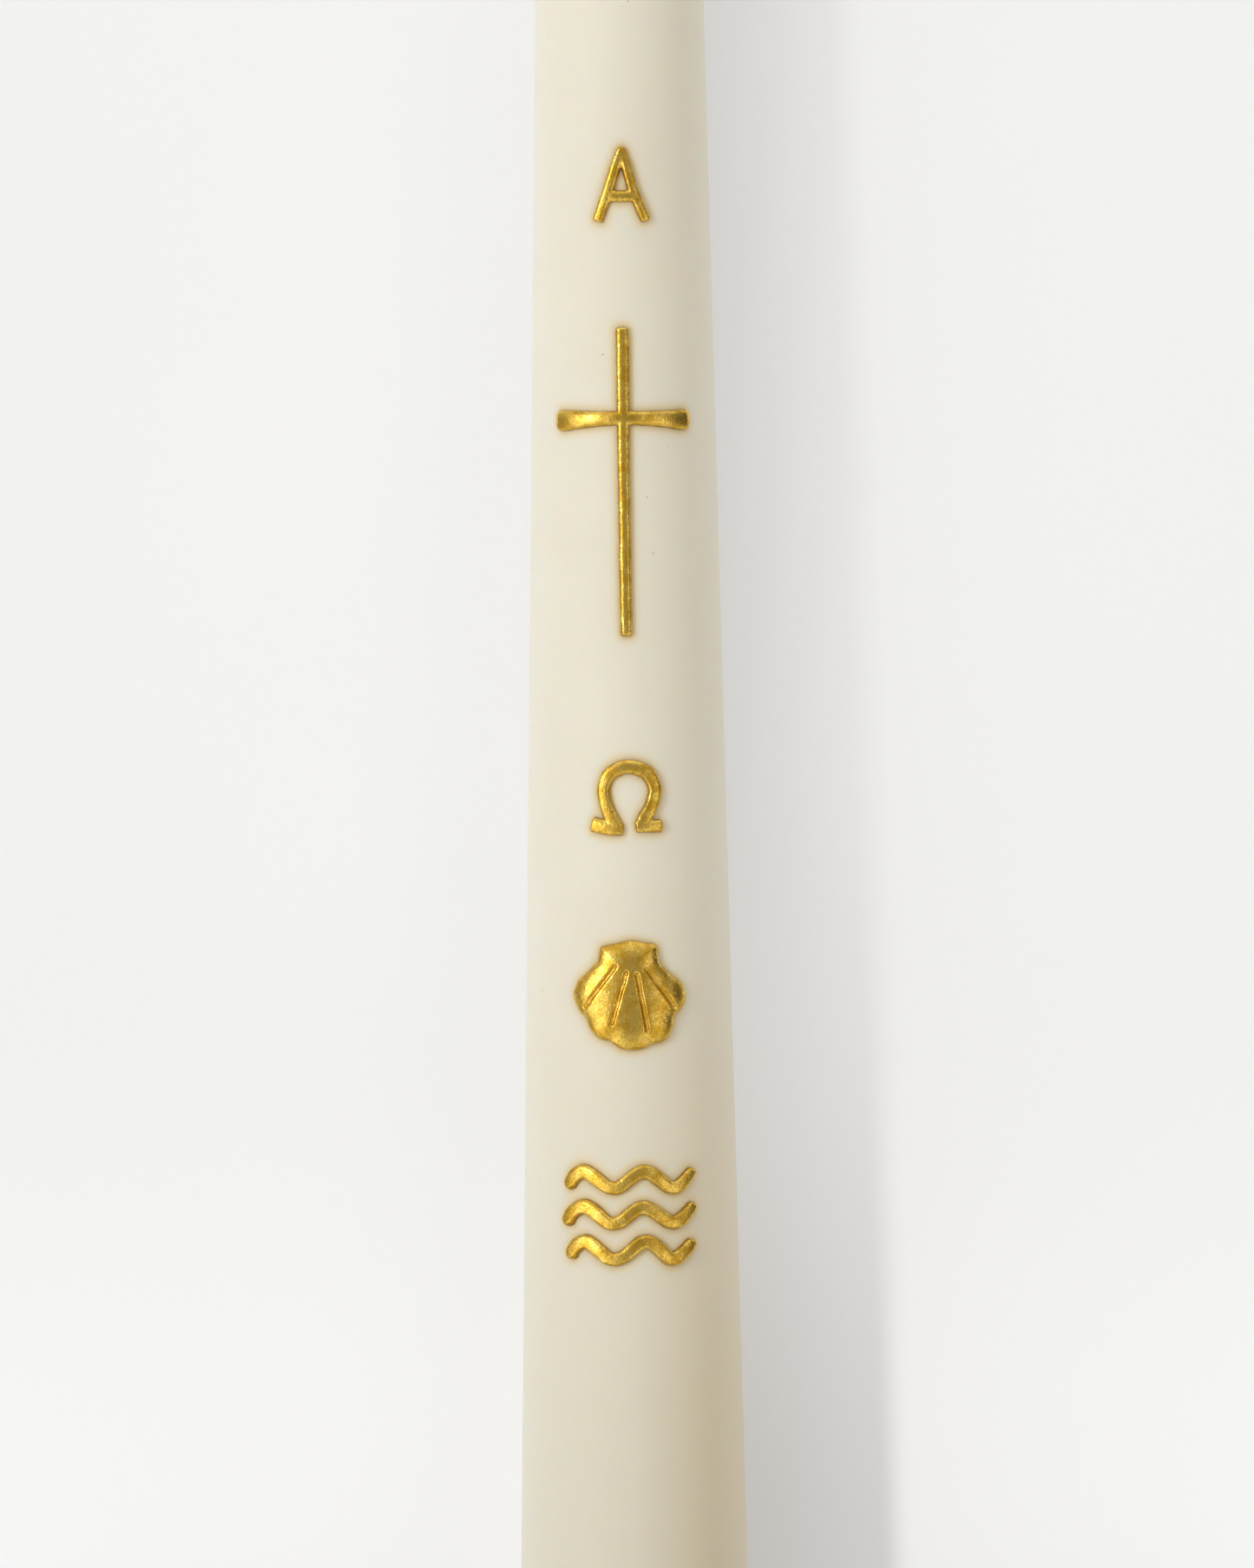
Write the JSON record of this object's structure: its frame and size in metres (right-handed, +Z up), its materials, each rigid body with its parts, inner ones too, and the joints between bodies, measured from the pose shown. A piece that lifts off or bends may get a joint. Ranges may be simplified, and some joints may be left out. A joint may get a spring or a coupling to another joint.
{
  "type": "ceremonial taper candle",
  "caption": "Slender ivory taper candle with a milled foot for a candle socket and gilded wax reliefs down its front: letters, a cross, a shell and waves.",
  "frame": {"origin": "middle of the base, on the surface the candle stands on", "axes": "+Z up along the wick, -Y out of the decorated front, +X to the viewer's right"},
  "size_m": [0.0232, 0.0232, 0.312],
  "materials": {
    "core_wax": "poured ivory candle wax, translucent, slightly milky",
    "coat_wax": "smooth ivory dipped candle wax, translucent, satin",
    "cotton_wick": "flat braided cotton, primed with wax",
    "gilded_wax": "gilded wax, satin metallic gold with fine speckle"
  },
  "bodies": {
    "root": {"wax_core": "core_wax", "dipped_coat": "coat_wax", "wick": "cotton_wick", "alpha_letter": "gilded_wax", "cross": "gilded_wax", "omega_letter": "gilded_wax", "shell": "gilded_wax", "wave_upper": "gilded_wax", "wave_middle": "gilded_wax", "wave_lower": "gilded_wax"}
  },
  "joints": []
}
